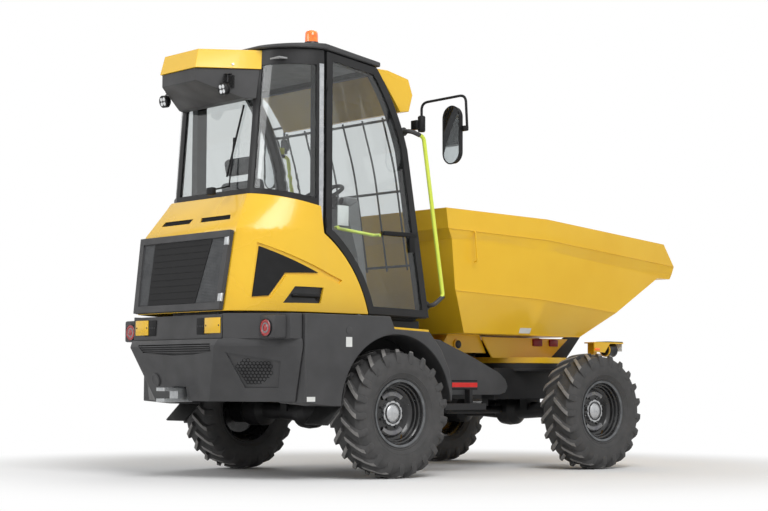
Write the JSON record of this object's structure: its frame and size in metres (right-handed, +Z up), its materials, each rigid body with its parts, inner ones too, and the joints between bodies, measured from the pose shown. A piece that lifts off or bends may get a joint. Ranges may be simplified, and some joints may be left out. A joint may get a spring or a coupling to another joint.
{
  "type": "articulated site dumper with a cab and a swivel skip",
  "caption": "Articulated site dumper: cab over a rear engine chassis, and a front chassis with a slewing, tipping skip, on lugged tyres.",
  "frame": {"origin": "on the ground, half way along the machine and half way between the axles and the wheels' sides", "axes": "+X forward, towards the skip's lip; +Y to the machine's left; +Z up"},
  "size_m": [4.5, 2.21, 2.936],
  "materials": {
    "yellow_paint": "gloss",
    "yellow_plastic": "gloss",
    "dark_plastic": "matte",
    "black_paint": "semi-gloss",
    "black_trim": "matte",
    "tyre_rubber": "matte",
    "rim_paint": "semi-gloss",
    "cast_hub": "semi-gloss",
    "tinted_glass": "clear",
    "lime_paint": "gloss",
    "cab_grey": "matte",
    "seat_fabric": "matte",
    "amber_lens": "gloss",
    "lamp_black": "matte",
    "rod_chrome": "polished",
    "flap_rubber": "matte",
    "hitch_steel": "semi-gloss"
  },
  "bodies": {
    "rear_chassis": {"cab_frame": "black_paint", "rear_glazing": "tinted_glass", "windscreen": "tinted_glass", "cab_roof": "dark_plastic", "cab_floor": "black_trim", "cab_base": "black_paint", "seat_base": "black_trim", "seat_pads": "seat_fabric", "dash_console": "cab_grey", "steering_wheel": "black_trim", "bonnet": "yellow_plastic", "rear_panel": "dark_plastic", "bumper": "dark_plastic", "tow_hitch": "hitch_steel", "fender_right": "dark_plastic", "fender_left": "dark_plastic", "mud_flaps": "flap_rubber", "side_plates": "dark_plastic", "steps": "black_paint", "handrails": "lime_paint", "mirrors": "black_trim", "front_visor": "yellow_plastic", "ac_cover": "yellow_plastic", "ac_housing": "dark_plastic", "work_lamps": "lamp_black", "beacon": "amber_lens", "rear_frame": "black_paint", "engine_block": "cast_hub", "rear_axle": "black_paint", "rear_driveline": "black_paint"},
    "grille_door": {"grille_door": "dark_plastic"},
    "door_right": {"door_right": "black_paint", "door_glass_right": "tinted_glass"},
    "door_left": {"door_left": "black_paint", "door_glass_left": "tinted_glass"},
    "front_chassis": {"front_frame": "black_paint", "slew_ring": "black_paint", "front_axle": "black_paint", "headlamps": "yellow_paint", "front_driveline": "black_paint"},
    "turntable": {"turntable": "yellow_paint", "tip_arms": "black_paint"},
    "skip": {"skip": "yellow_paint"},
    "tip_ram_barrel": {"tip_ram_barrel": "black_paint"},
    "tip_ram_rod": {"tip_ram_rod": "rod_chrome"},
    "steering_ram_barrel": {"steering_ram_barrel": "black_paint"},
    "steering_ram_rod": {"steering_ram_rod": "rod_chrome"},
    "wheel_rear_right": {"tyre_rear_right": "tyre_rubber", "rim_rear_right": "rim_paint"},
    "wheel_rear_left": {"tyre_rear_left": "tyre_rubber", "rim_rear_left": "rim_paint"},
    "wheel_front_right": {"tyre_front_right": "tyre_rubber", "rim_front_right": "rim_paint"},
    "wheel_front_left": {"tyre_front_left": "tyre_rubber", "rim_front_left": "rim_paint"}
  },
  "joints": [
    {"name": "articulation", "type": "hinge", "parent": "rear_chassis", "child": "front_chassis", "pos_m": [0.3, 0, 0.6205], "axis": [0, 0, 1], "range_deg": [-30, 30]},
    {"name": "skip_slew", "type": "hinge", "parent": "front_chassis", "child": "turntable", "pos_m": [1.02, 0, 0.754], "axis": [0, 0, 1], "range_deg": [-90, 90]},
    {"name": "skip_tip", "type": "hinge", "parent": "turntable", "child": "skip", "pos_m": [1.47, 0, 1], "axis": [0, 1, 0], "range_deg": [0, 58]},
    {"name": "tip_ram_swing", "type": "hinge", "parent": "turntable", "child": "tip_ram_barrel", "pos_m": [1.2, 0, 0.812], "axis": [0, 1, 0], "range_deg": [0, 64]},
    {"name": "tip_ram_extend", "type": "slide", "parent": "tip_ram_barrel", "child": "tip_ram_rod", "axis": [-0.9959, 0, 0.0899], "range_m": [0, 0.31]},
    {"name": "steering_ram_swing", "type": "hinge", "parent": "rear_chassis", "child": "steering_ram_barrel", "pos_m": [-0.4, 0.35, 0.622], "axis": [0, 0, 1], "range_deg": [-3, 3]},
    {"name": "steering_ram_extend", "type": "slide", "parent": "steering_ram_barrel", "child": "steering_ram_rod", "axis": [0.9988, -0.0499, 0], "range_m": [-0.16, 0.16]},
    {"name": "door_right_hinge", "type": "hinge", "parent": "rear_chassis", "child": "door_right", "pos_m": [-1.465, -0.72, 1.9], "axis": [0, 0, -1], "range_deg": [0, 90]},
    {"name": "door_left_hinge", "type": "hinge", "parent": "rear_chassis", "child": "door_left", "pos_m": [-1.465, 0.72, 1.9], "axis": [0, 0, 1], "range_deg": [0, 90]},
    {"name": "grille_door_hinge", "type": "hinge", "parent": "rear_chassis", "child": "grille_door", "pos_m": [-2.148, -0.5, 1.081], "axis": [0.1326, 0, 0.9912], "range_deg": [0, 100]},
    {"name": "wheel_rear_right_spin", "type": "hinge", "parent": "rear_chassis", "child": "wheel_rear_right", "pos_m": [-1, -0.82, 0.4225], "axis": [0, 1, 0], "continuous": true},
    {"name": "wheel_rear_left_spin", "type": "hinge", "parent": "rear_chassis", "child": "wheel_rear_left", "pos_m": [-1, 0.82, 0.4225], "axis": [0, 1, 0], "continuous": true},
    {"name": "wheel_front_right_spin", "type": "hinge", "parent": "front_chassis", "child": "wheel_front_right", "pos_m": [1, -0.82, 0.4225], "axis": [0, 1, 0], "continuous": true},
    {"name": "wheel_front_left_spin", "type": "hinge", "parent": "front_chassis", "child": "wheel_front_left", "pos_m": [1, 0.82, 0.4225], "axis": [0, 1, 0], "continuous": true}
  ],
  "couplings": [
    {"joint": "tip_ram_swing", "follows": "skip_tip", "ratio": 1.083},
    {"joint": "tip_ram_extend", "follows": "skip_tip", "m_per_rad": 0.301},
    {"joint": "steering_ram_swing", "follows": "articulation", "ratio": 0.09},
    {"joint": "steering_ram_extend", "follows": "articulation", "m_per_rad": -0.292}
  ]
}
